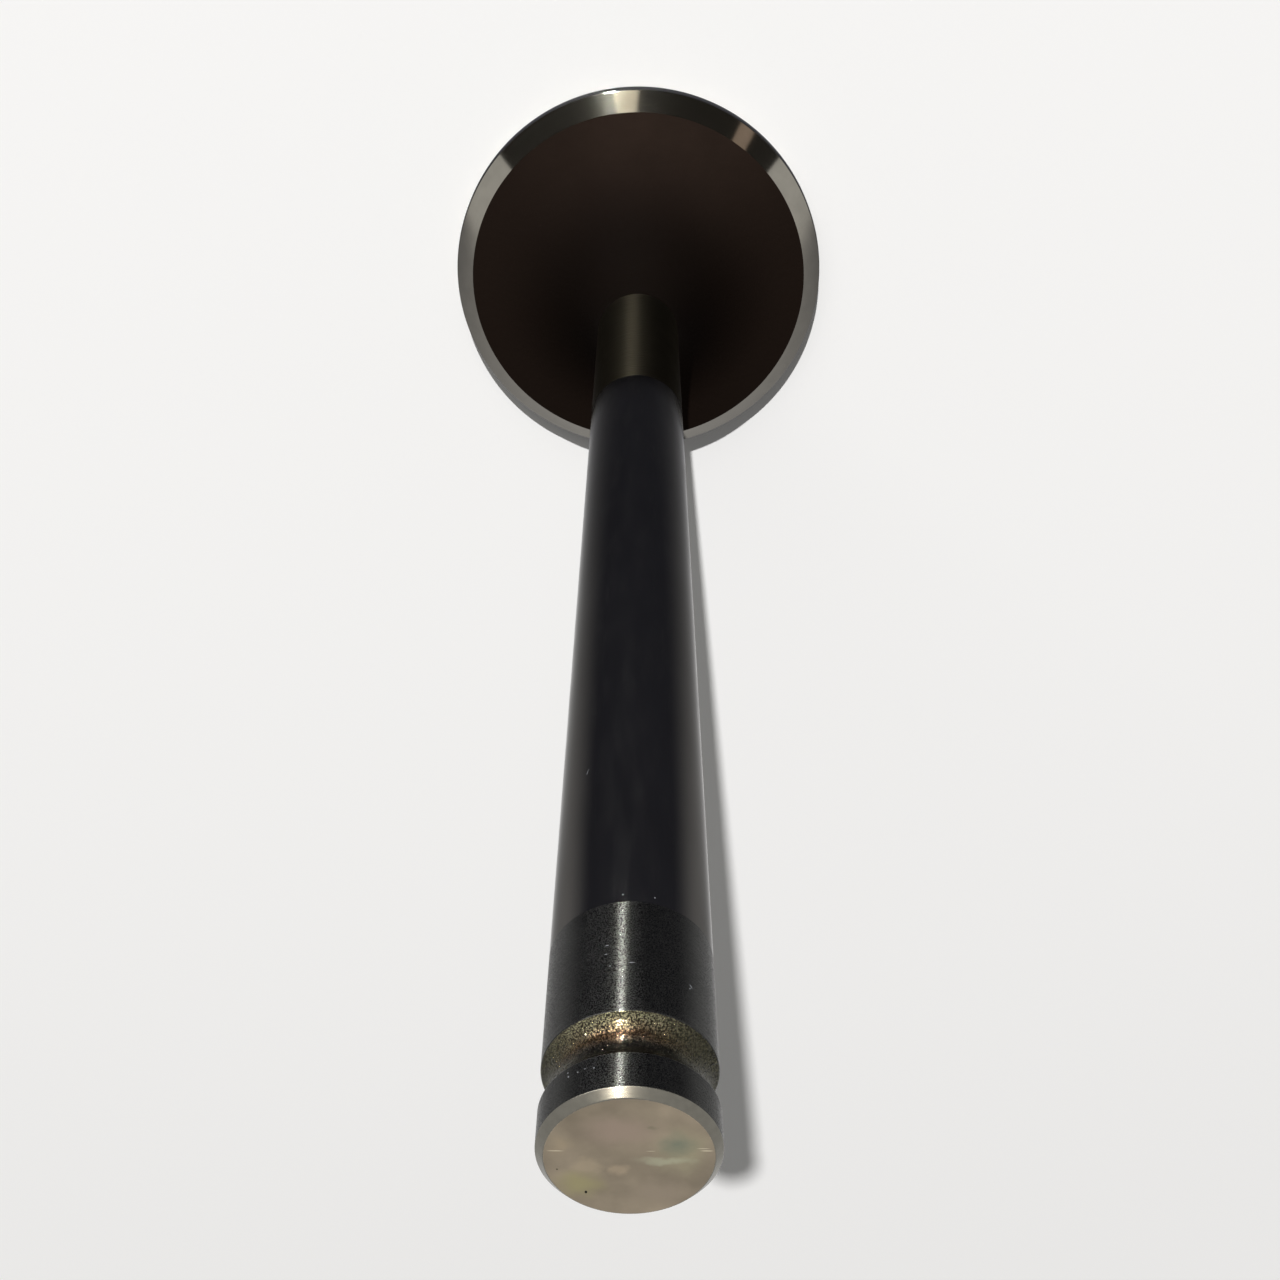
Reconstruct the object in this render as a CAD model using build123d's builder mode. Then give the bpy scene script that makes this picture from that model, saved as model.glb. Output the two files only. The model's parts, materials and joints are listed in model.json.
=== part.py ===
"""Poppet valve of a piston engine: one turned and ground piece with a bead groove for its keepers."""
import os
from math import cos, radians, tan

from build123d import *

# Millimetres. The valve stands on its combustion face, at z = 0, and +Z runs up the stem to the tip.
overall_length = 119.0
stem_diameter = 8.0

# Head, from the combustion face upwards
head_diameter = 40.0
face_chamfer = 0.4  # broken edge round the combustion face
margin_height = 1.8  # cylindrical rim between the combustion face and the seat
seat_angle = 45.0  # seat face, from the plane of the head
seat_width = 1.9  # seat face, measured along the radius
seat_edge_radius = 0.12  # where the seat meets the margin
back_angle = 15.0  # cone behind the seat, from the plane of the head
neck_radius = 15.0  # sweep from that cone into the stem

# Stem end, from the tip face downwards
tip_chamfer = 0.35
tip_land = 2.16  # tip face to the near lip of the keeper groove
groove_width = 2.35  # mouth of the groove, along the stem
groove_depth = 0.75
groove_lip_radius = 0.06  # takes the burr off both lips

# Radii and heights that follow from the sizes above
head_radius = head_diameter / 2
stem_radius = stem_diameter / 2
seat_inner_radius = head_radius - seat_width
seat_top = margin_height + seat_width * tan(radians(seat_angle))
back_cone_top = seat_top + (seat_inner_radius - stem_radius) * tan(radians(back_angle))

# The neck's sweep turns from the cone to the stem, and ends on the cone short of the seat
neck_turn = radians(90 - back_angle)
least_back_cone = 0.5
back_cone_length = (seat_inner_radius - stem_radius) / cos(radians(back_angle))
largest_neck_radius = (back_cone_length - least_back_cone) / tan(neck_turn / 2)

# The groove's circle passes through both lips and reaches groove_depth into the stem
lower_lip = overall_length - tip_land - groove_width
upper_lip = overall_length - tip_land
groove_radius = ((groove_width / 2) ** 2 + groove_depth**2) / (2 * groove_depth)
groove_centre = (stem_radius - groove_depth + groove_radius, (lower_lip + upper_lip) / 2)

with BuildPart() as valve:
    # Half of the section: from the axis out along the face, round the head and up the stem
    with BuildSketch(Plane.XZ) as section:
        with BuildLine():
            Polyline(
                (0, 0),
                (head_radius, 0),
                (head_radius, margin_height),
                (seat_inner_radius, seat_top),
                (stem_radius, back_cone_top),
                (stem_radius, overall_length),
                (0, overall_length),
                close=True,
            )
        make_face()

        def corner_at(radius, height):
            return section.vertices().sort_by_distance((radius, height))[0]

        chamfer(corner_at(head_radius, 0), face_chamfer)
        fillet(corner_at(head_radius, margin_height), seat_edge_radius)
        fillet(corner_at(stem_radius, back_cone_top), min(neck_radius, largest_neck_radius))
        chamfer(corner_at(stem_radius, overall_length), tip_chamfer)

        # Keeper groove: one smooth bead with no flat at its root
        with Locations(groove_centre):
            Circle(groove_radius, mode=Mode.SUBTRACT)
        fillet([corner_at(stem_radius, lip) for lip in (lower_lip, upper_lip)], groove_lip_radius)
    revolve(axis=Axis.Z)

valve.part.label = "valve"

os.makedirs("parts", exist_ok=True)
export_step(valve.part, "parts/valve.step")
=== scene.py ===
import json
from math import atan2, cos, pi, radians, sin, tan

import bmesh
import bpy
from mathutils import Matrix, Vector


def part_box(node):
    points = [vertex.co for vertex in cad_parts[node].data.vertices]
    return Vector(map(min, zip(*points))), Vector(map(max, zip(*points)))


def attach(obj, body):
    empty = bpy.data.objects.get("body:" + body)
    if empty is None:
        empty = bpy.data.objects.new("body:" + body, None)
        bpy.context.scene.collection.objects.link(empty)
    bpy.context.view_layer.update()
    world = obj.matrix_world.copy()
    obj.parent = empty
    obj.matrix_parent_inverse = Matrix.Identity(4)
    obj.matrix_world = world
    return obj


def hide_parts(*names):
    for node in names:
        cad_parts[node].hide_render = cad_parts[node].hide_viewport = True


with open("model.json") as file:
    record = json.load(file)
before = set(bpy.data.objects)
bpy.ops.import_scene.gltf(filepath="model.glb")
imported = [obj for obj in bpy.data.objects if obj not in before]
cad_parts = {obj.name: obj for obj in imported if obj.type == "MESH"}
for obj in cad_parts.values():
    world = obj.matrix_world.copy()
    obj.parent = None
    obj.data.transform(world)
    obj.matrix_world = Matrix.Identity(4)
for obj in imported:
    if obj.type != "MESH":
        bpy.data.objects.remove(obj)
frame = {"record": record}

bl_info = {
    "name": "Engine valve",
    "version": (1, 0, 0),
    "blender": (4, 5, 0),
    "location": "3D View > Sidebar > Valve",
    "description": "Turns an engine valve, finishes its zones and sets it on a studio floor",
    "category": "Object",
}

MM = 0.001
NODE = "valve"
LOWEST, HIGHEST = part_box(NODE)
GUIDE = next(mount for mount in frame["record"]["mounts"] if mount["name"] == "guide_stem")
STEM_RADIUS = GUIDE["dims"]["r_mm"] * MM

# Straight runs that stand for the neck's sweep and for the groove
NECK_RUNS, GROOVE_RUNS = 40, 22
# How far the points beside a bevelled corner stand from it, in widths of the bevel
GUARD_REACH = 1.6
# Points this near to each other are one, and an edge whose ends are this near to a ring's place is on it
SAME_POINT, SAME_RING = 0.001 * MM, 0.004 * MM
# Faces that meet at less than this are shaded as one surface
SMOOTH_BELOW = radians(24)


def length(name, description, default):
    """A length property in metres, shown in the scene's units."""
    return bpy.props.FloatProperty(
        name=name, description=description, default=default, min=0, precision=5,
        subtype="DISTANCE", unit="LENGTH",
    )


def level(name, description, default):
    """A property for a level of light."""
    return bpy.props.FloatProperty(name=name, description=description, default=default, min=0)


def linear(code):
    """Linear colour of an sRGB hex value such as #8a8782, with full alpha."""
    parts = [int(code[i:i + 2], 16) / 255 for i in (1, 3, 5)]
    return tuple(c / 12.92 if c <= 0.04045 else ((c + 0.055) / 1.055) ** 2.4 for c in parts) + (1,)


def colour(name, description, code):
    """A colour property that starts at an sRGB hex value."""
    return bpy.props.FloatVectorProperty(
        name=name, description=description, default=linear(code), size=4, min=0, max=1, subtype="COLOR"
    )


class ValveSizes(bpy.types.PropertyGroup):
    """Sizes of the turned section, and where one finish of the stem gives way to the next."""

    overall: length("Overall length", "Combustion face to tip face", HIGHEST[2] - LOWEST[2])
    stem: length("Stem radius", "Radius of the part that runs in the guide", STEM_RADIUS)
    head: length("Head radius", "Radius of the margin", HIGHEST[1])
    face_chamfer: length("Face chamfer", "Broken edge round the combustion face", 0.4 * MM)
    margin: length("Margin height", "Cylindrical rim below the seat", 1.8 * MM)
    seat: length("Seat width", "Seat face along the radius", 1.9 * MM)
    seat_edge: length("Seat edge", "Bevel where the seat meets the margin", 0.12 * MM)
    back_angle: bpy.props.FloatProperty(
        name="Back angle", description="Cone behind the seat, from the plane of the head",
        default=radians(15), subtype="ANGLE", unit="ROTATION",
    )
    neck: length("Neck radius", "Sweep from the cone into the stem", 15 * MM)
    tip_chamfer: length("Tip chamfer", "Broken edge round the tip face", 0.35 * MM)
    tip_land: length("Tip land", "Tip face to the near lip of the groove", 2.16 * MM)
    groove_width: length("Groove width", "Mouth of the keeper groove", 2.35 * MM)
    groove_depth: length("Groove depth", "Stem surface to the root of the groove", 0.75 * MM)
    lip: length("Lip bevel", "Takes the burr off the groove's lips", 0.06 * MM)
    ground_end: length("Ground end", "Tip face to the start of the plating", 11.4 * MM)
    plated_end: length("Plated end", "Tip face to the end of the plating", 78.3 * MM)
    steps: bpy.props.IntProperty(
        name="Steps", description="Faces round the stem", default=288, min=32, max=512
    )


class ValveFinish(bpy.types.PropertyGroup):
    """Colours of the finishes, tip first."""

    tip: colour("Tip face", "Ground and lapped end of the stem", "#897f70")
    chamfer: colour("Tip chamfer", "Ground edge of the tip", "#737068")
    # Painted dark reflection: the bare ground steel is coloured far darker than bare steel, as if it mirrored
    # a dark room
    ground: colour("Ground stem", "Bare ground steel by the keeper groove", "#2f2f2e")
    groove: colour("Groove", "Turned groove, straw tinted by heat", "#5f5c4b")
    bronze: colour("Groove, half way down", "Deeper heat tint", "#3d2f23")
    # Painted shade: the root of the groove is coloured dark where it falls into shade
    groove_root_shade: colour("Groove root", "Dull steel at the bottom of the groove", "#262320")
    plated: colour("Plated stem", "Dark polished plating", "#5d5b59")
    # Painted dark reflection: the bare neck steel is coloured far darker than bare steel, as if it mirrored a
    # dark room
    neck: colour("Neck", "Bare ground steel above the head", "#211e19")
    scale: colour("Back of the head", "Baked brown oxide scale", "#281f1a")
    seat: colour("Seat", "Ground sealing face", "#8f8b82")
    face: colour("Combustion face", "Turned face and margin", "#6e6b66")
    nick: colour("Nicks", "Bright metal where the surface is nicked", "#8c8f94")


class ValveStage(bpy.types.PropertyGroup):
    """Floor, lamps and camera."""

    floor: colour("Floor", "Pale studio floor", "#faf9f8")
    backdrop: colour("Backdrop", "What stands behind the valve, above the horizon", "#f8f8f7")
    floor_card: colour("Floor card", "Unseen dark card on the floor, for the stem to mirror", "#595a64")
    far_card: colour("Far card", "Unseen dark card far in front, for the seat to mirror", "#383633")
    ambient: level("Ambient", "Even light from all round, where 1 is white", 0.16)
    key: level("Key", "Light from the key lamp", 3.65)
    window: level("Window", "Light from the wide front box", 0.6)
    spark: level("Spark", "Line of light along the ground stem", 6.0)
    tip_spark: level("Tip spark", "Highlight in the groove and on the tip's chamfer", 2.4)
    glint: level("Glint", "Glints in the seat", 0.04)
    panel: level("Panel", "Sheen from the long low panel", 1.9)
    lens: bpy.props.FloatProperty(
        name="Lens", description="Focal length", default=40.78, min=1, subtype="DISTANCE_CAMERA"
    )


# ---------------------------------------------------------------- the turned section


def arc(centre, radius, start, end, runs):
    """Points on an arc of the section, from the start angle to the end angle."""
    angles = [start + (end - start) * i / runs for i in range(runs + 1)]
    return [(centre[0] + radius * cos(a), centre[1] + radius * sin(a)) for a in angles]


def neck_top(sizes):
    """Height at which the neck's sweep runs into the stem."""
    seat_inner = sizes.head - sizes.seat
    cone_top = sizes.margin + sizes.seat + (seat_inner - sizes.stem) * tan(sizes.back_angle)
    return cone_top + sizes.neck * tan((pi / 2 - sizes.back_angle) / 2)


def half_section(sizes):
    """Corners and arcs of the half section, from the combustion face to the tip.
    Each is a radius, a height and the width of its bevel, which is 0 where the corner stays as it is."""
    neck_centre = (sizes.stem + sizes.neck, neck_top(sizes))
    neck = arc(neck_centre, sizes.neck, pi + (pi / 2 - sizes.back_angle), pi, NECK_RUNS)

    lower_lip = sizes.overall - sizes.tip_land - sizes.groove_width
    upper_lip = sizes.overall - sizes.tip_land
    half, depth = sizes.groove_width / 2, sizes.groove_depth
    radius = (half ** 2 + depth ** 2) / (2 * depth)
    reach = atan2(half, radius - depth)
    groove_centre = (sizes.stem - depth + radius, (lower_lip + upper_lip) / 2)
    groove = arc(groove_centre, radius, pi + reach, pi - reach, GROOVE_RUNS)

    return [
        (0, 0, 0),
        (sizes.head - sizes.face_chamfer, 0, sizes.lip),
        (sizes.head, sizes.face_chamfer, sizes.lip),
        (sizes.head, sizes.margin, sizes.seat_edge),
        (sizes.head - sizes.seat, sizes.margin + sizes.seat, 0),
        *[(r, z, 0) for r, z in neck],
        (sizes.stem, sizes.overall - sizes.plated_end, 0),
        (sizes.stem, sizes.overall - sizes.ground_end, 0),
        (*groove[0], sizes.lip),
        *[(r, z, 0) for r, z in groove[1:-1]],
        (*groove[-1], sizes.lip),
        (sizes.stem, sizes.overall - sizes.tip_chamfer, sizes.lip / 2),
        (sizes.stem - sizes.tip_chamfer, sizes.overall, sizes.lip / 2),
        (0, sizes.overall, 0),
    ]


def guarded(section):
    """The section's points with one more on each side of a corner to be bevelled, so that the faces stay flat
    up to the bevel."""
    points = []
    for i, (r, z, width) in enumerate(section):
        if width == 0:
            points.append((r, z))
            continue
        beside = []
        for other_r, other_z, _ in (section[i - 1], section[i + 1]):
            share = GUARD_REACH * width / ((other_r - r) ** 2 + (other_z - z) ** 2) ** 0.5
            beside.append((r + share * (other_r - r), z + share * (other_z - z)))
        points += [beside[0], (r, z), beside[1]]
    return points


def deselect_all():
    """Leaves no object selected, so that the next operator acts on its own piece alone."""
    if bpy.context.object and bpy.context.object.mode != "OBJECT":
        bpy.ops.object.mode_set(mode="OBJECT")
    bpy.ops.object.select_all(action="DESELECT")


def pick_ring(mesh, radius, height):
    """Selects the ring of edges at this radius and height of a mesh in edit mode."""
    bpy.ops.mesh.select_all(action="DESELECT")
    bpy.ops.mesh.select_mode(type="EDGE")
    shape = bmesh.from_edit_mesh(mesh)
    for edge in shape.edges:
        corners = [(corner.co.xy.length, corner.co.z) for corner in edge.verts]
        on_ring = all(abs(r - radius) < SAME_RING and abs(z - height) < SAME_RING for r, z in corners)
        edge.select_set(on_ring)
    bmesh.update_edit_mesh(mesh)


class VALVE_OT_turn(bpy.types.Operator):
    """Turn the valve: draw half of its section and spin it round the stem's axis"""

    bl_idname = "valve.turn"
    bl_label = "Turn the valve"

    def execute(self, context):
        sizes = context.scene.valve_sizes
        section = half_section(sizes)

        # A plane merged to one corner is the pen that draws the section
        deselect_all()
        bpy.ops.mesh.primitive_plane_add(size=sizes.stem, location=(0, 0, 0))
        valve = context.object
        valve.name = valve.data.name = "turned_valve"
        bpy.ops.object.mode_set(mode="EDIT")
        bpy.ops.mesh.select_all(action="SELECT")
        bpy.ops.mesh.merge(type="CENTER")
        points = guarded(section)
        for (r0, z0), (r1, z1) in zip(points, points[1:]):
            bpy.ops.mesh.extrude_region_move(TRANSFORM_OT_translate={"value": (r1 - r0, 0, z1 - z0)})

        bpy.ops.mesh.select_all(action="SELECT")
        bpy.ops.mesh.spin(steps=sizes.steps, angle=2 * pi, center=(0, 0, 0), axis=(0, 0, 1))
        bpy.ops.mesh.select_all(action="SELECT")
        bpy.ops.mesh.remove_doubles(threshold=SAME_POINT)

        # Edges that a stone or a file has taken off
        for radius, height, width in section:
            if width > 0:
                pick_ring(valve.data, radius, height)
                bpy.ops.mesh.bevel(offset=width, segments=3, profile=0.5, affect="EDGES")

        bpy.ops.mesh.select_all(action="SELECT")
        bpy.ops.mesh.normals_make_consistent(inside=False)
        bpy.ops.object.mode_set(mode="OBJECT")
        bpy.ops.object.shade_smooth_by_angle(angle=SMOOTH_BELOW)

        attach(valve, "root")
        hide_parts(NODE)
        return {"FINISHED"}


# ---------------------------------------------------------------- finishes


def add_node(tree, kind, inputs=(), **settings):
    """Adds a node with its settings. Each input takes a value, or the output that feeds it."""
    node = tree.nodes.new(kind)
    for name, value in settings.items():
        setattr(node, name, value)
    for key, value in dict(inputs).items():
        if isinstance(value, bpy.types.NodeSocket):
            tree.links.new(value, node.inputs[key])
        else:
            node.inputs[key].default_value = value
    return node


def new_finish(name, shader):
    """A new material that is one Principled surface. Returns the material, its node tree, the surface and
    the Object coordinates that its patterns are placed by."""
    material = bpy.data.materials.new(name)
    material.use_nodes = True
    tree = material.node_tree
    tree.nodes.clear()
    surface = add_node(tree, "ShaderNodeBsdfPrincipled", shader)
    add_node(tree, "ShaderNodeOutputMaterial", {"Surface": surface.outputs["BSDF"]})
    place = add_node(tree, "ShaderNodeTexCoord").outputs["Object"]
    return material, tree, surface, place


def draw_out(tree, surface, share):
    """Draws highlights out along the valve's axis by this share, as marks that run round it do."""
    tangent = add_node(tree, "ShaderNodeTangent", direction_type="RADIAL", axis="Z")
    tree.links.new(tangent.outputs["Tangent"], surface.inputs["Tangent"])
    surface.inputs["Anisotropic"].default_value = share
    surface.inputs["Anisotropic Rotation"].default_value = 0.25


# Sockets of a Mix node for colours, where several have one name: the share of the second colour, the two
# colours, and the result
SHARE, FIRST, SECOND, RESULT = 0, 6, 7, 2


def scaled(rgba, factor):
    """The same colour, lighter or darker."""
    return tuple(min(1.0, c * factor) for c in rgba[:3]) + (1,)


def marbled(tree, place, size, detail, tone, darker, lighter):
    """The tone, wandering between a darker and a lighter shade of itself in patches of this size."""
    cloud = add_node(tree, "ShaderNodeTexNoise", {"Vector": place, "Scale": 1 / size, "Detail": detail})
    return add_node(tree, "ShaderNodeMix", {
        SHARE: cloud.outputs["Fac"], FIRST: scaled(tone, darker), SECOND: scaled(tone, lighter),
    }, data_type="RGBA").outputs[RESULT]


def speckled(tree, place, size, low, high):
    """A value that jumps between two levels from grain to grain, with grains of this size.
    Noise keeps near 0.5, so the narrow window about 0.5 parts it into grains."""
    grain = add_node(tree, "ShaderNodeTexNoise", {"Vector": place, "Scale": 1 / size, "Detail": 1.0})
    return add_node(tree, "ShaderNodeMapRange", {
        "Value": grain.outputs["Fac"], "From Min": 0.42, "From Max": 0.58, "To Min": low, "To Max": high,
    }).outputs["Result"]


def grained(tree, place, tint, size, low, high):
    """The tint times one or the other of two factors from grain to grain, with grains of this size."""
    return add_node(tree, "ShaderNodeMix", {
        SHARE: 1.0, FIRST: tint, SECOND: speckled(tree, place, size, low, high),
    }, data_type="RGBA", blend_type="MULTIPLY").outputs[RESULT]


def grinding_marks(tree, surface, place, run, pitch, depth, pits=0.0):
    """Fine marks that run round the stem: a bump of this pitch along the axis, each mark this long round it.
    Pits is the depth of the sparse pits between them, which scatter sparks beside a highlight."""
    stretched = add_node(tree, "ShaderNodeMapping", {"Vector": place, "Scale": (1, 1, run / pitch)})
    height = add_node(tree, "ShaderNodeTexNoise", {
        "Vector": stretched.outputs["Vector"], "Scale": 1 / run, "Detail": 2.0,
    }).outputs["Fac"]
    if pits > 0:
        specks = add_node(tree, "ShaderNodeTexNoise", {"Vector": place, "Scale": 1 / pitch, "Detail": 1.0})
        pitted = add_node(tree, "ShaderNodeMapRange", {
            "Value": specks.outputs["Fac"], "From Min": 0.55, "From Max": 0.75, "To Max": pits / depth,
        })
        both = {0: height, 1: pitted.outputs["Result"]}
        height = add_node(tree, "ShaderNodeMath", both, operation="ADD").outputs[0]
    bump = add_node(tree, "ShaderNodeBump", {"Height": height, "Distance": depth})
    tree.links.new(bump.outputs["Normal"], surface.inputs["Normal"])


def spot(tree, place, centre, reach, edge, turn=(0, 0, 0)):
    """1 inside an oval patch, fading to 0 over its edge. Centre and reach are in metres, and edge is a share
    of the reach."""
    about = add_node(tree, "ShaderNodeMapping", {
        "Vector": place, "Location": centre, "Rotation": turn, "Scale": reach,
    }, vector_type="TEXTURE")
    away = add_node(tree, "ShaderNodeVectorMath", {0: about.outputs["Vector"]}, operation="LENGTH")
    return add_node(tree, "ShaderNodeMapRange", {
        "Value": away.outputs["Value"], "From Min": 1.0, "From Max": 1.0 - edge,
    }, interpolation_type="SMOOTHSTEP").outputs["Result"]


# Nicks in the stem: azimuth from the front towards +X, height in mm, half lengths round and along it in mm,
# tilt in degrees
PLATED_NICKS = (
    (6.2, 107.1, 0.05, 0.05, 0),
    (-15.8, 107.17, 0.03, 0.07, 0),
    (38, 96.4, 0.02, 0.3, 20),
    (-71, 88.0, 0.02, 0.5, -12),
    (104, 99.0, 0.4, 0.02, 8),
    (152, 71.5, 0.02, 0.9, 15),
    (-128, 62.0, 0.05, 0.06, 0),
)
GROUND_NICKS = (
    (16.1, 110.4, 0.13, 0.03, 0),
    (16.7, 110.95, 0.09, 0.03, 0),
    (13.8, 111.74, 0.04, 0.04, 0),
    (-0.4, 111.62, 0.2, 0.025, 0),
    (-42.4, 112.03, 0.17, 0.03, 45),
    (-41.5, 112.2, 0.08, 0.03, -45),
    (40.2, 117.37, 0.04, 0.06, 0),
    (40.7, 117.15, 0.04, 0.04, 0),
    (33.2, 117.38, 0.05, 0.04, 30),
    (28.1, 117.35, 0.04, 0.03, 0),
    (22.1, 117.45, 0.04, 0.06, 0),
    (-95, 110.2, 0.2, 0.03, 12),
    (140, 113.1, 0.03, 0.25, 5),
    (-160, 109.0, 0.06, 0.06, 0),
)
NICK_EDGE = 0.6


def nick(tree, surface, place, radius, nicks, tint, bright):
    """Gives the surface its colour, with torn metal in each nick, which scatters light like frost."""
    mask = 0.0
    for azimuth, height, around, along, tilt in nicks:
        turn = radians(azimuth)
        centre = (radius * sin(turn), -radius * cos(turn), height * MM)
        reach = (around * MM, 2 * around * MM, along * MM)
        torn = spot(tree, place, centre, reach, NICK_EDGE, (0, radians(tilt), turn))
        mask = add_node(tree, "ShaderNodeMath", {0: torn, 1: mask}, operation="MAXIMUM").outputs[0]
    nicked = add_node(tree, "ShaderNodeMix", {SHARE: mask, FIRST: tint, SECOND: bright}, data_type="RGBA")
    polished = add_node(tree, "ShaderNodeMath", {0: 1.0, 1: mask}, operation="SUBTRACT")
    tree.links.new(nicked.outputs[RESULT], surface.inputs["Base Color"])
    tree.links.new(polished.outputs[0], surface.inputs["Metallic"])


def plated_stem(finish, radius):
    """Dark hard plating, ground then polished: a smooth blue-black mirror that pales only at grazing angles.
    Its grey specular tint holds that paling back, and rubbing has left it hazy in streaks along the stem."""
    material, tree, surface, place = new_finish("polished_dark_plating", {
        "Metallic": 1.0, "Specular Tint": linear("#bcbcbc"),
    })
    tint = marbled(tree, place, 9 * MM, 2.0, finish.plated, 0.8, 1.2)
    rubbed = add_node(tree, "ShaderNodeMapping", {"Vector": place, "Scale": (1, 1, 0.2)})
    haze = add_node(tree, "ShaderNodeTexNoise", {
        "Vector": rubbed.outputs["Vector"], "Scale": 1 / (0.8 * MM), "Detail": 3.0,
    })
    gloss = add_node(tree, "ShaderNodeMapRange", {
        "Value": haze.outputs["Fac"], "From Min": 0.35, "From Max": 0.7, "To Min": 0.1, "To Max": 0.19,
    })
    tree.links.new(gloss.outputs["Result"], surface.inputs["Roughness"])
    nick(tree, surface, place, radius, PLATED_NICKS, tint, finish.nick)
    return material


def ground_stem(finish, radius):
    """Bare steel from the centreless grinder: fine marks run round it and draw light out along the stem.
    Its colour is darkened far below bare steel's, as a painted dark reflection.
    Real marks are some 0.02 mm apart. To show, they are drawn 0.08 mm apart, in a grain of 0.05 mm."""
    material, tree, surface, place = new_finish("centreless_ground_steel", {
        "Metallic": 1.0, "Specular Tint": linear("#d0d0d0"), "Coat Weight": 0.2, "Coat Roughness": 0.08,
    })
    draw_out(tree, surface, 1.0)
    grinding_marks(tree, surface, place, 4 * MM, 0.08 * MM, 0.012 * MM)
    tint = marbled(tree, place, 1.2 * MM, 4.0, finish.ground, 0.7, 1.3)
    tint = grained(tree, place, tint, 0.06 * MM, 0.7, 1.35)
    tree.links.new(speckled(tree, place, 0.05 * MM, 0.16, 0.46), surface.inputs["Roughness"])
    nick(tree, surface, place, radius, GROUND_NICKS, tint, finish.nick)
    return material


# Heights between which the groove's tint goes from straw to a painted shade at the root, and the share at
# which it is bronze
STRAW_HEIGHT, ROOT_HEIGHT, BRONZE_SHARE = 114.75 * MM, 115.85 * MM, 0.62
# Patch on the lit front of the groove that keeps its heat tint; elsewhere the groove gets a painted shade
LIT_FRONT_CENTRE, LIT_FRONT_REACH = (0.9 * MM, -3.6 * MM, 115 * MM), 4.6 * MM


def turned_groove(finish):
    """Turned keeper groove, straw by its lower lip, then bronze, with painted shade from its root up and
    beside the lit front.
    A fine tool feed of 0.1 mm runs round it, and its grain breaks the light into gold sparks."""
    material, tree, surface, place = new_finish("turned_tempered_steel", {
        "Metallic": 1.0, "Roughness": 0.235,
    })
    draw_out(tree, surface, 0.6)
    grinding_marks(tree, surface, place, 0.4 * MM, 0.1 * MM, 0.01 * MM, 0.06 * MM)
    height = add_node(tree, "ShaderNodeSeparateXYZ", {"Vector": place}).outputs["Z"]
    cloud = add_node(tree, "ShaderNodeTexNoise", {"Vector": place, "Scale": 1 / (0.7 * MM), "Detail": 4.0})
    wander = add_node(tree, "ShaderNodeMath", {0: cloud.outputs["Fac"], 1: 0.5 * MM}, operation="MULTIPLY")
    uneven = add_node(tree, "ShaderNodeMath", {0: height, 1: wander.outputs[0]}, operation="ADD")
    depth = add_node(tree, "ShaderNodeMapRange", {
        "Value": uneven.outputs[0], "From Min": STRAW_HEIGHT, "From Max": ROOT_HEIGHT,
    })
    ramp = add_node(tree, "ShaderNodeValToRGB", {"Fac": depth.outputs["Result"]})
    stops = ramp.color_ramp.elements
    stops[0].color, stops[1].color = finish.groove, finish.groove_root_shade
    stops.new(BRONZE_SHARE).color = finish.bronze
    # Painted light: only the lit front keeps the tint, and the sides get a painted shade at a fifth of the
    # groove's tone
    lit_front_tint = spot(tree, place, LIT_FRONT_CENTRE, (LIT_FRONT_REACH,) * 3, 1.0)
    tint_and_painted_shade = add_node(tree, "ShaderNodeMix", {
        SHARE: lit_front_tint, FIRST: scaled(finish.groove, 0.2), SECOND: ramp.outputs["Color"],
    }, data_type="RGBA").outputs[RESULT]
    tint = grained(tree, place, tint_and_painted_shade, 0.07 * MM, 0.4, 2.7)
    tree.links.new(tint, surface.inputs["Base Color"])
    return material


# Stains and witness marks on the tip face: centre and reach in mm, soft edge as a share, colour, strength
TIP_MARKS = (
    ((0.5, -1.7), (2.3, 1.3), 0.9, "#94867a", 0.9),
    ((-2.2, -0.4), (1.5, 2.0), 0.9, "#948f79", 0.8),
    ((-1.3, 2.2), (2.0, 1.1), 0.9, "#908577", 0.8),
    ((2.1, 1.7), (1.5, 1.2), 0.9, "#948e6c", 0.8),
    ((-1.95, -0.85), (1.0, 0.95), 1.0, "#6f766a", 0.75),
    ((-1.0, -1.9), (0.28, 0.25), 0.8, "#7a7565", 0.7),
    ((-1.6, 0.12), (1.6, 0.34), 0.8, "#a3a38f", 0.7),
    ((1.8, 0.5), (0.95, 0.62), 0.7, "#9f937f", 0.6),
    ((0.45, 0.75), (0.62, 0.5), 0.7, "#a49682", 0.6),
    ((2.9, -0.8), (0.75, 0.8), 0.9, "#9c8f7a", 0.6),
    ((3.1, -0.42), (0.45, 0.03), 0.6, "#cdc5b2", 0.8),
    ((-3.25, -0.5), (0.35, 0.03), 0.6, "#d4ccb8", 0.9),
    ((-3.1, -0.64), (0.35, 0.025), 0.6, "#cdc5b2", 0.7),
    ((-0.9, -0.45), (0.25, 0.025), 0.6, "#c4bca8", 0.6),
    ((1.84, 2.21), (0.07, 0.1), 0.3, "#1c1a16", 1.0),
    ((3.05, 0.75), (0.05, 0.06), 0.3, "#4c4838", 0.8),
)
# A mark narrower than this, in mm, is a scratch or a pit, whose edge is sharp where a stain's is ragged
FINEST_STAIN = 0.2
RAGGED_REACH = 0.9 * MM


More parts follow.
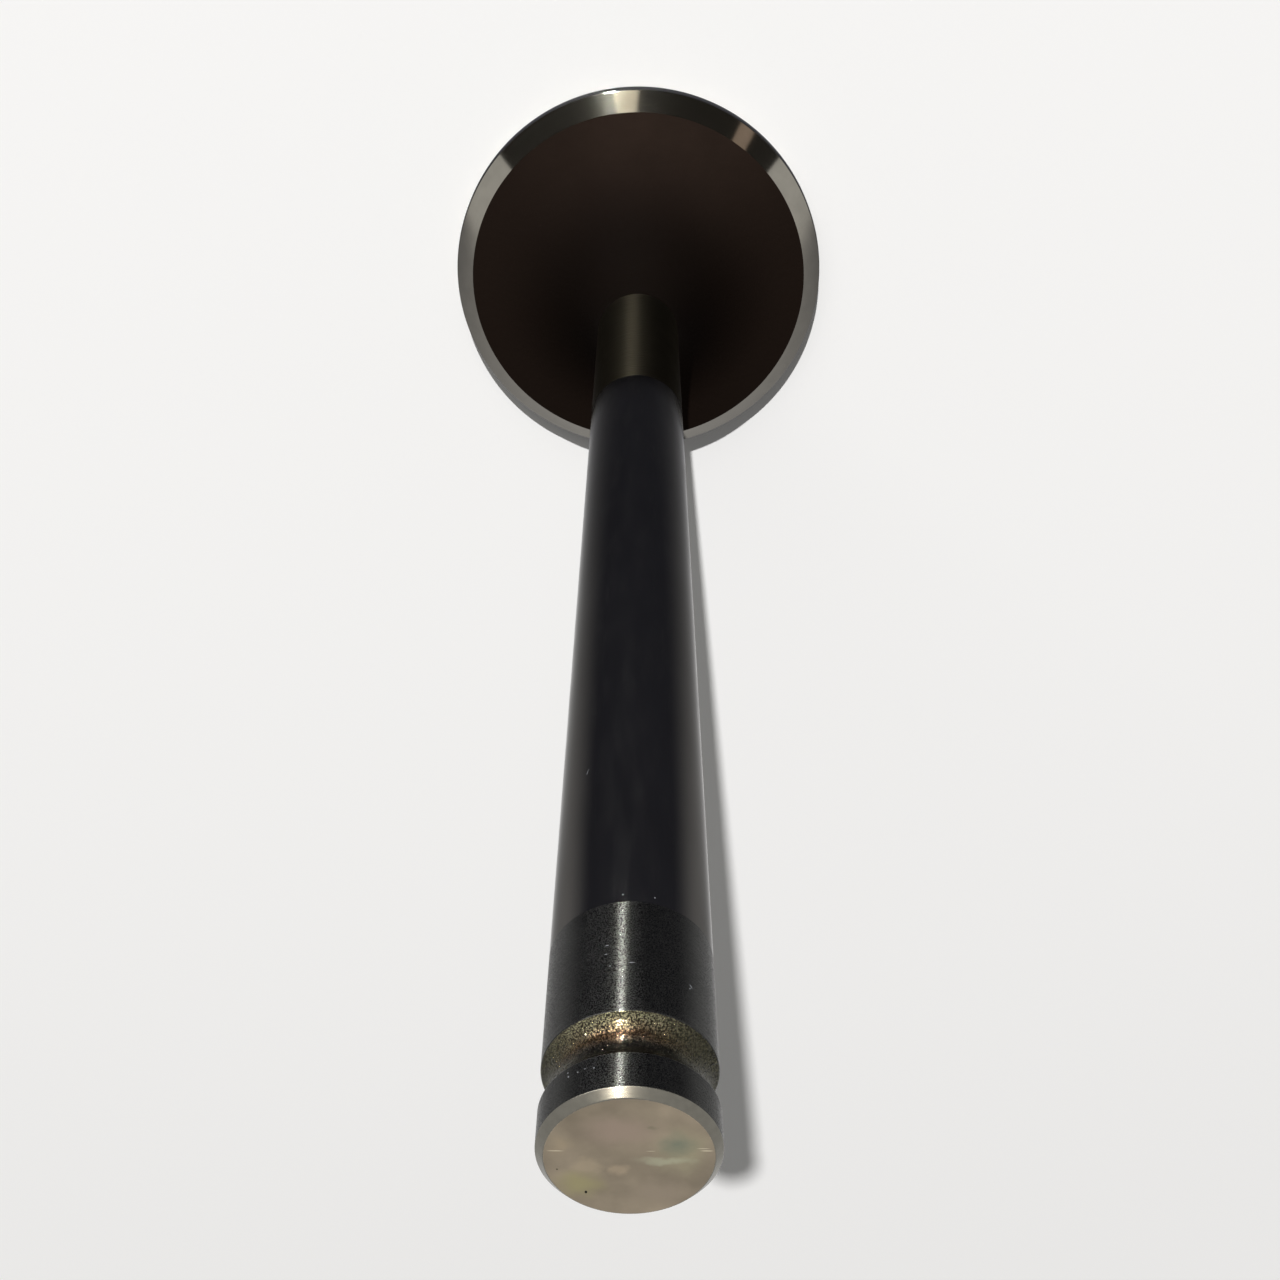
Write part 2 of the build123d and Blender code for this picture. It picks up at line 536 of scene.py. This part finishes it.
def lapped_tip(finish, top):
    """Tip face, ground flat then lapped: satin, with soft stains, a few hair scratches and two pits."""
    material, tree, surface, place = new_finish("lapped_steel", {"Metallic": 1.0, "Roughness": 0.7})
    tint = marbled(tree, place, 1.9 * MM, 3.0, finish.tip, 0.55, 1.45)
    warp = add_node(tree, "ShaderNodeTexNoise", {"Vector": place, "Scale": 1 / (0.8 * MM), "Detail": 3.0})
    ragged = warp.outputs["Color"]
    steps = ("SUBTRACT", {1: (0.5,) * 3}), ("SCALE", {"Scale": RAGGED_REACH}), ("ADD", {1: place})
    for operation, amount in steps:
        inputs = {0: ragged, **amount}
        ragged = add_node(tree, "ShaderNodeVectorMath", inputs, operation=operation).outputs["Vector"]
    for (x, y), (width, height), edge, tone, strength in TIP_MARKS:
        on = place if min(width, height) < FINEST_STAIN else ragged
        patch = spot(tree, on, (x * MM, y * MM, top), (width * MM, height * MM, 1), edge)
        share = add_node(tree, "ShaderNodeMath", {0: patch, 1: strength}, operation="MULTIPLY")
        tint = add_node(tree, "ShaderNodeMix", {
            SHARE: share.outputs[0], FIRST: tint, SECOND: linear(tone),
        }, data_type="RGBA").outputs[RESULT]
    tree.links.new(tint, surface.inputs["Base Color"])
    return material


def tip_chamfer(finish):
    """Ground chamfer round the tip: smoother than the face, so it catches the lamps."""
    material, tree, surface, place = new_finish("ground_chamfer_steel", {"Metallic": 1.0, "Roughness": 0.25})
    tint = marbled(tree, place, 0.4 * MM, 3.0, finish.chamfer, 0.75, 1.15)
    tree.links.new(tint, surface.inputs["Base Color"])
    return material


def bare_neck(finish):
    """Neck below the guide, ground and left bare, a darker brown grey than the stem's other end, darkened as
    a painted dark reflection.
    Its marks are drawn 0.2 mm apart, several times their real pitch, to show."""
    material, tree, surface, place = new_finish("ground_neck_steel", {
        "Metallic": 1.0, "Roughness": 0.42, "Specular Tint": linear("#b0b0b0"),
    })
    draw_out(tree, surface, 0.75)
    grinding_marks(tree, surface, place, 2 * MM, 0.2 * MM, 0.02 * MM)
    tint = marbled(tree, place, 2 * MM, 3.0, finish.neck, 0.75, 1.25)
    tree.links.new(tint, surface.inputs["Base Color"])
    return material


def scaled_back(finish, head):
    """Back of the head: forged, then baked to a dull brown oxide scale. Painted shade darkens it round the
    neck and on the sides away from the lit front.
    Its crust is drawn in lumps of 0.7 mm, about twice the real, to show."""
    material, tree, surface, place = new_finish("oxide_scaled_forging", {
        "Metallic": 0.0, "Roughness": 0.8, "Specular IOR Level": 0.01,
    })
    tint = marbled(tree, place, 5 * MM, 5.0, finish.scale, 0.7, 1.3)
    flat = add_node(tree, "ShaderNodeMapping", {"Vector": place, "Scale": (1, 1, 0)}).outputs["Vector"]
    # Painted light: the front half, towards the lamps, keeps the scale's tone, and the rest gets a painted
    # shade
    lit_front_patch = spot(tree, flat, (-0.1 * head, -head, 0), (1.1 * head, 1.1 * head, head), 0.9)
    painted_side_shade = add_node(tree, "ShaderNodeMix", {
        SHARE: lit_front_patch, FIRST: scaled(finish.scale, 0.55), SECOND: tint,
    }, data_type="RGBA")
    # Painted shade: the scale darkens towards the neck, where the concave sweep falls into shade
    away = add_node(tree, "ShaderNodeVectorMath", {0: flat}, operation="LENGTH")
    outside_neck_shade = add_node(tree, "ShaderNodeMapRange", {
        "Value": away.outputs["Value"], "From Min": 0.3 * head, "From Max": 0.85 * head,
    }, interpolation_type="SMOOTHSTEP")
    painted_shade_tint = add_node(tree, "ShaderNodeMix", {
        SHARE: outside_neck_shade.outputs["Result"], FIRST: scaled(finish.scale, 0.2), SECOND: painted_side_shade.outputs[RESULT],
    }, data_type="RGBA")
    tree.links.new(painted_shade_tint.outputs[RESULT], surface.inputs["Base Color"])
    crust = add_node(tree, "ShaderNodeTexNoise", {"Vector": place, "Scale": 1 / (0.7 * MM), "Detail": 4.0})
    bump = add_node(tree, "ShaderNodeBump", {"Height": crust.outputs["Fac"], "Distance": 0.04 * MM})
    tree.links.new(bump.outputs["Normal"], surface.inputs["Normal"])
    return material


def ground_seat(finish):
    """Seat face off the valve grinder: bright, and smooth enough to mirror the lamps as sharp glints."""
    material, tree, surface, place = new_finish("ground_seat_steel", {"Metallic": 1.0, "Roughness": 0.085})
    tint = marbled(tree, place, 1.5 * MM, 3.0, finish.seat, 0.85, 1.1)
    tree.links.new(tint, surface.inputs["Base Color"])
    return material


def turned_face(finish):
    """Margin and combustion face: turned steel with rings of tool marks.
    Rings at this scale are 0.94 mm apart, several times the real feed, to show."""
    material, tree, surface, place = new_finish("turned_head_steel", {"Metallic": 1.0, "Roughness": 0.24})
    draw_out(tree, surface, 0.6)
    rings = add_node(tree, "ShaderNodeTexWave", {
        "Vector": place, "Scale": 1 / (3 * MM), "Distortion": 0.4,
    }, wave_type="RINGS", rings_direction="SPHERICAL")
    tint = add_node(tree, "ShaderNodeMix", {
        SHARE: rings.outputs["Fac"], FIRST: scaled(finish.face, 0.85), SECOND: scaled(finish.face, 1.1),
    }, data_type="RGBA")
    tree.links.new(tint.outputs[RESULT], surface.inputs["Base Color"])
    return material


def zone_of(height, sizes):
    """Which finish a face of the valve has, by the height of its middle."""
    upper_lip = sizes.overall - sizes.tip_land
    feet = (
        ("tip", sizes.overall - SAME_POINT),
        ("chamfer", sizes.overall - sizes.tip_chamfer - sizes.lip / 4),
        ("ground", upper_lip),
        ("groove", upper_lip - sizes.groove_width),
        ("ground", sizes.overall - sizes.ground_end),
        ("plated", sizes.overall - sizes.plated_end),
        ("neck", neck_top(sizes)),
        ("back", sizes.margin + sizes.seat),
        ("seat", sizes.margin),
    )
    return next((zone for zone, foot in feet if height > foot), "face")


class VALVE_OT_finish(bpy.types.Operator):
    """Finish the valve: give each zone of the turned surface its own material"""

    bl_idname = "valve.finish"
    bl_label = "Finish the valve"

    def execute(self, context):
        sizes, finish = context.scene.valve_sizes, context.scene.valve_finish
        valve = bpy.data.objects["turned_valve"]
        finishes = {
            "tip": lapped_tip(finish, sizes.overall),
            "chamfer": tip_chamfer(finish),
            "ground": ground_stem(finish, sizes.stem),
            "groove": turned_groove(finish),
            "plated": plated_stem(finish, sizes.stem),
            "neck": bare_neck(finish),
            "back": scaled_back(finish, sizes.head),
            "seat": ground_seat(finish),
            "face": turned_face(finish),
        }
        valve.data.materials.clear()
        for material in finishes.values():
            valve.data.materials.append(material)
        order = list(finishes)
        for face in valve.data.polygons:
            face.material_index = order.index(zone_of(face.center.z, sizes))
        return {"FINISHED"}


# ---------------------------------------------------------------- stage

# The point that the lamps are turned to, half way up the valve
LAMP_TARGET = (0, 0, 60 * MM)

# Lamps: azimuth from -Y towards +X and elevation in degrees, distance, width and height in metres, the
# stage's level and the share of it that the lamp gives, colour, and whether it lights all surfaces, only
# matt ones, where it makes no highlight, or only glossy ones, where it makes nothing else
LAMPS = (
    ("key", 6.5, 38.9, 3.0, 0.055, 0.055, "key", 1, "#ffffff", "matt"),
    ("front_window", 20, 30, 2.2, 2.4, 1.1, "window", 1, "#f4f4ee", "all"),
    ("stem_spark", 11, -8, 0.3, 0.007, 0.02, "spark", 1, "#fbfff6", "glossy"),
    ("tip_spark", 15, 42, 1.2, 0.09, 0.09, "tip_spark", 1, "#fff8ea", "glossy"),
    ("seat_glint", 5.5, 5.5, 1.0, 0.19, 0.15, "glint", 1, "#fff6e2", "glossy"),
    ("side_glint", -45, 5.5, 1.0, 0.12, 0.12, "glint", 1 / 6, "#ffe4d0", "glossy"),
    ("low_panel", 23, 18, 1.1, 1.4, 0.1, "panel", 1, "#ffffff", "glossy"),
)

# Cards out of the camera's sight for the polished steel to mirror, one on the floor in front of the valve and
# one far in front, low on the horizon: centre, turn, width and height in metres, colour, and whether it fades
CARDS = (
    ("floor_card", (0, -0.11, 0.0002), (0, 0, 0), (0.5, 0.34), "floor_card", True),
    ("horizon_card", (0, -1.2, 0.2), (pi / 2, 0, 0), (4.4, 0.4), "far_card", False),
)

# Width of the floor, and the distances from the valve between which it comes to look like the backdrop
FLOOR_SIZE, FADE_START, FADE_END = 12, 0.16, 0.5

# The camera stands above the tip and looks down past it to the head. Its place, and the ways to the right of
# its frame, up it and ahead
CAMERA_PLACE = (0, -0.05052, 0.15927)
CAMERA_RIGHT = (-0.99994, -0.01075, -0.00231)
CAMERA_UP = (0.01036, -0.85007, -0.52657)
CAMERA_AHEAD = (-0.00369, 0.52656, -0.85013)


def soft_lamp(name, azimuth, elevation, distance, width, height, light, tone, lights):
    """A soft box turned to the valve, which gives it this much light. A long one has square ends, because an
    oval one would be slender at its ends."""
    turn, rise = radians(azimuth), radians(elevation)
    way = Vector((cos(rise) * sin(turn), -cos(rise) * cos(turn), sin(rise)))
    bpy.ops.object.light_add(type="AREA", location=Vector(LAMP_TARGET) + distance * way)
    lamp = bpy.context.object
    lamp.name = lamp.data.name = name
    lamp.data.shape = "ELLIPSE" if width < 4 * height else "RECTANGLE"
    lamp.data.size, lamp.data.size_y = width, height
    lamp.data.energy, lamp.data.color = light * pi * distance ** 2, linear(tone)[:3]
    lamp.rotation_euler = way.to_track_quat("Z", "Y").to_euler()
    lamp.visible_camera = False
    lamp.visible_diffuse = lights != "glossy"
    lamp.visible_glossy = lights != "matt"


def seen_or_mirrored(tree):
    """1 for rays of the camera, a mirror or glass, and 0 for the rays that light the scene."""
    path = add_node(tree, "ShaderNodeLightPath").outputs
    seen = path["Is Camera Ray"]
    for ray in ("Is Glossy Ray", "Is Transmission Ray"):
        seen = add_node(tree, "ShaderNodeMath", {0: seen, 1: path[ray]}, operation="MAXIMUM").outputs[0]
    return seen


def paper_floor(stage):
    """Pale matt paper. Far from the valve the camera and mirrors see it as bright as the backdrop."""
    material, tree, surface, place = new_finish("pale_paper_floor", {
        "Base Color": stage.floor, "Roughness": 0.9, "Specular IOR Level": 0.0,
    })
    away = add_node(tree, "ShaderNodeVectorMath", {0: place}, operation="LENGTH")
    far = add_node(tree, "ShaderNodeMapRange", {
        "Value": away.outputs["Value"], "From Min": FADE_START, "From Max": FADE_END,
    }, interpolation_type="SMOOTHSTEP")
    share = add_node(tree, "ShaderNodeMath", {
        0: far.outputs["Result"], 1: seen_or_mirrored(tree),
    }, operation="MULTIPLY")
    glow = add_node(tree, "ShaderNodeEmission", {"Color": stage.backdrop})
    blend = add_node(tree, "ShaderNodeMixShader", {
        0: share.outputs[0], 1: surface.outputs["BSDF"], 2: glow.outputs["Emission"],
    })
    tree.links.new(blend.outputs["Shader"], tree.nodes["Material Output"].inputs["Surface"])
    return material


def dark_card(name, tone, fades):
    """Dark card, as even as its own light makes it. One that fades is a soft-edged oval of its size."""
    material, tree, surface, place = new_finish(name, {
        "Base Color": (0, 0, 0, 1), "Specular IOR Level": 0.0,
        "Emission Color": tone, "Emission Strength": 1.0,
    })
    if fades:
        away = add_node(tree, "ShaderNodeVectorMath", {0: place}, operation="LENGTH")
        cover = add_node(tree, "ShaderNodeMapRange", {
            "Value": away.outputs["Value"], "From Min": 0.5, "From Max": 0.25,
        }, interpolation_type="SMOOTHSTEP")
        tree.links.new(cover.outputs["Result"], surface.inputs["Alpha"])
    return material


class VALVE_OT_stage(bpy.types.Operator):
    """Set the stage: pale floor, soft lamps and the camera that looks down the stem"""

    bl_idname = "valve.stage"
    bl_label = "Set the stage"

    def execute(self, context):
        stage = context.scene.valve_stage

        deselect_all()
        bpy.ops.mesh.primitive_plane_add(size=FLOOR_SIZE, location=(0, 0, 0))
        floor = context.object
        floor.name = floor.data.name = "studio_floor"
        floor.data.materials.append(paper_floor(stage))

        for name, azimuth, elevation, distance, width, height, source, share, tone, lights in LAMPS:
            light = share * getattr(stage, source)
            soft_lamp(name, azimuth, elevation, distance, width, height, light, tone, lights)

        for name, centre, turn, size, tone, fades in CARDS:
            bpy.ops.mesh.primitive_plane_add(size=1, location=centre, rotation=turn)
            card = context.object
            card.name = card.data.name = name
            card.scale = (*size, 1)
            card.visible_camera = card.visible_diffuse = card.visible_shadow = False
            card.data.materials.append(dark_card(name, getattr(stage, tone), fades))

        # The air all round: the backdrop to whatever sees it, and a low even light on the scene
        world = bpy.data.worlds.new("studio_air")
        world.use_nodes = True
        context.scene.world = world
        tree = world.node_tree
        strength = add_node(tree, "ShaderNodeMapRange", {
            "Value": seen_or_mirrored(tree), "To Min": stage.ambient, "To Max": 1.0,
        })
        background = tree.nodes["Background"]
        background.inputs["Color"].default_value = stage.backdrop
        tree.links.new(strength.outputs["Result"], background.inputs["Strength"])

        lens = bpy.data.cameras.new("camera")
        lens.sensor_width, lens.lens = 36, stage.lens
        lens.clip_start, lens.clip_end = 0.005, 20
        camera = bpy.data.objects.new("camera", lens)
        context.scene.collection.objects.link(camera)
        turn = Matrix((CAMERA_RIGHT, CAMERA_UP, [-c for c in CAMERA_AHEAD])).transposed().to_4x4()
        camera.matrix_world = Matrix.Translation(CAMERA_PLACE) @ turn
        context.scene.camera = camera
        context.scene.view_settings.view_transform = "Standard"
        return {"FINISHED"}


class VALVE_PT_panel(bpy.types.Panel):
    """Sizes, finishes and stage of the engine valve"""

    bl_idname = "VALVE_PT_panel"
    bl_label = "Engine valve"
    bl_space_type = "VIEW_3D"
    bl_region_type = "UI"
    bl_category = "Valve"

    def draw(self, context):
        for group in (context.scene.valve_sizes, context.scene.valve_finish, context.scene.valve_stage):
            box = self.layout.box()
            for name in group.__annotations__:
                box.prop(group, name)
        for operator in (VALVE_OT_turn, VALVE_OT_finish, VALVE_OT_stage):
            self.layout.operator(operator.bl_idname)


CLASSES = (
    ValveSizes, ValveFinish, ValveStage, VALVE_OT_turn, VALVE_OT_finish, VALVE_OT_stage, VALVE_PT_panel,
)


def register():
    for cls in CLASSES:
        bpy.utils.register_class(cls)
    bpy.types.Scene.valve_sizes = bpy.props.PointerProperty(type=ValveSizes)
    bpy.types.Scene.valve_finish = bpy.props.PointerProperty(type=ValveFinish)
    bpy.types.Scene.valve_stage = bpy.props.PointerProperty(type=ValveStage)


def unregister():
    del bpy.types.Scene.valve_stage, bpy.types.Scene.valve_finish, bpy.types.Scene.valve_sizes
    for cls in reversed(CLASSES):
        bpy.utils.unregister_class(cls)


def main():
    """Builds the valve and its stage."""
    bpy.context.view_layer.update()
    register()
    bpy.ops.valve.turn()
    bpy.ops.valve.finish()
    bpy.ops.valve.stage()


if __name__ == "__main__":
    main()
